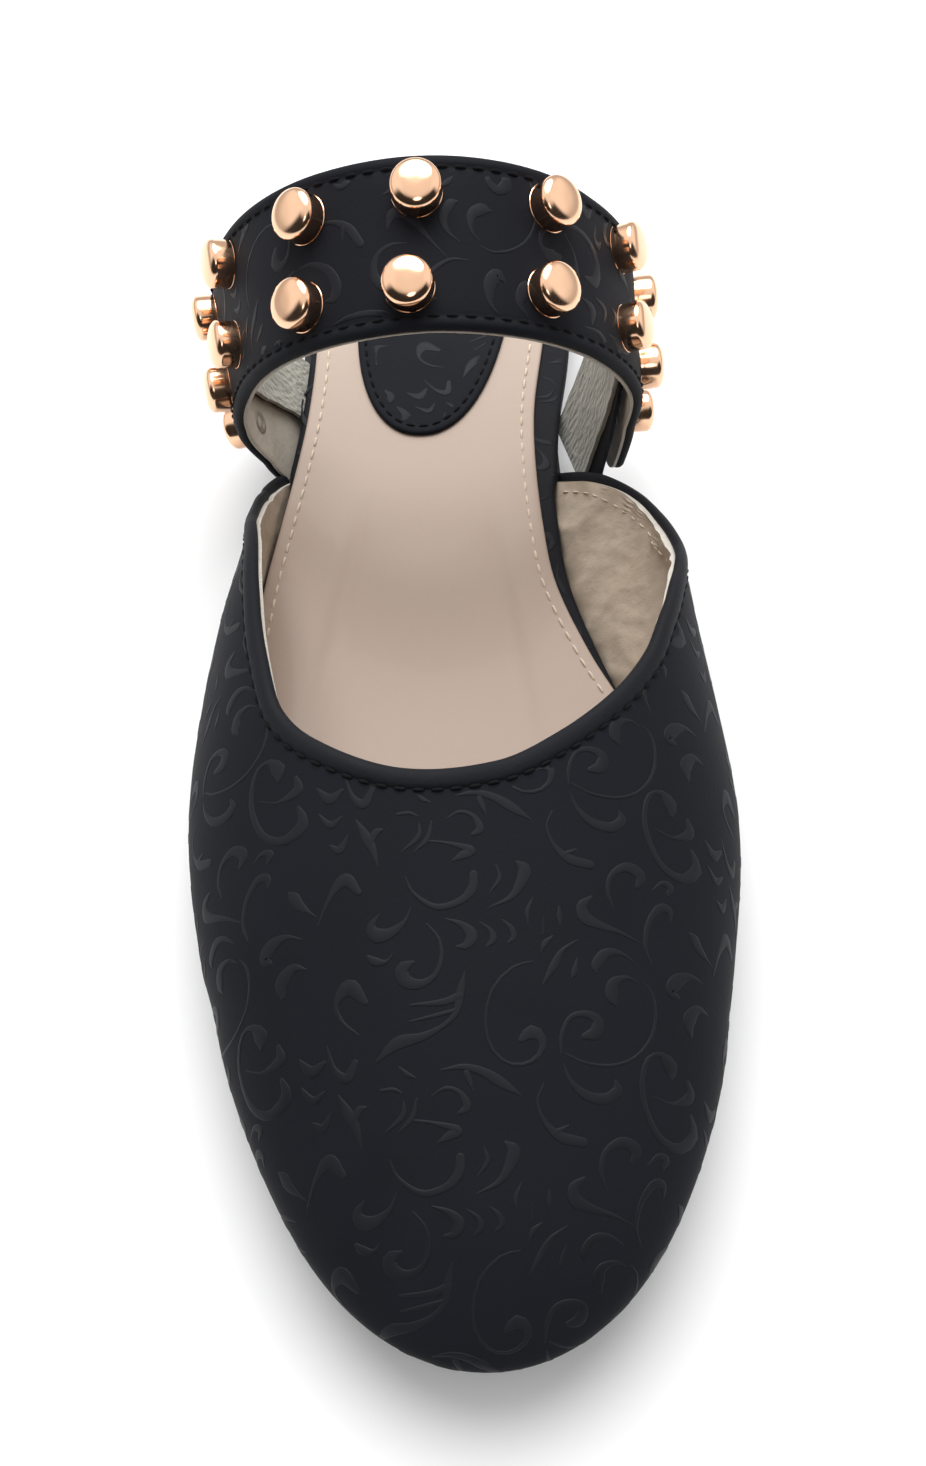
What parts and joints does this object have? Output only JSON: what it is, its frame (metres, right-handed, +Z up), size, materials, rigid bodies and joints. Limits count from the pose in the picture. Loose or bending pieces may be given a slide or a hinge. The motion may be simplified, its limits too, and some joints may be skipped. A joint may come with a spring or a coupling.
{
  "type": "studded strap mule",
  "caption": "Flat closed-toe mule for the right foot: an embossed hollow vamp, a thin low-heeled sole and a studded strap over the instep.",
  "frame": {"origin": "under the middle of the whole shoe's box, on the plane that the heel and the forefoot stand on", "axes": "+Z up, -Y towards the toe, +X towards the inner (big toe) side of the right foot"},
  "size_m": [0.0983, 0.2504, 0.0894],
  "materials": {
    "upper_black": "matt embossed nubuck, charcoal black",
    "sole_rubber": "matt black",
    "sock_lining": "smooth pinkish beige lining",
    "tab_felt": "grey-green felt",
    "stud_metal": "polished rose gold plating"
  },
  "bodies": {
    "root": {"outsole": "sole_rubber", "footbed": "upper_black", "sock": "sock_lining", "heel_patch": "upper_black", "upper": "upper_black", "strap": "upper_black", "tab_lateral": "tab_felt", "tab_medial": "tab_felt", "stud_back_1": "stud_metal", "stud_back_2": "stud_metal", "stud_back_3": "stud_metal", "stud_back_4": "stud_metal", "stud_back_5": "stud_metal", "stud_back_6": "stud_metal", "stud_back_7": "stud_metal", "stud_back_8": "stud_metal", "stud_back_9": "stud_metal", "stud_front_1": "stud_metal", "stud_front_2": "stud_metal", "stud_front_3": "stud_metal", "stud_front_4": "stud_metal", "stud_front_5": "stud_metal", "stud_front_6": "stud_metal", "stud_front_7": "stud_metal", "stud_front_8": "stud_metal", "stud_front_9": "stud_metal"}
  },
  "joints": []
}
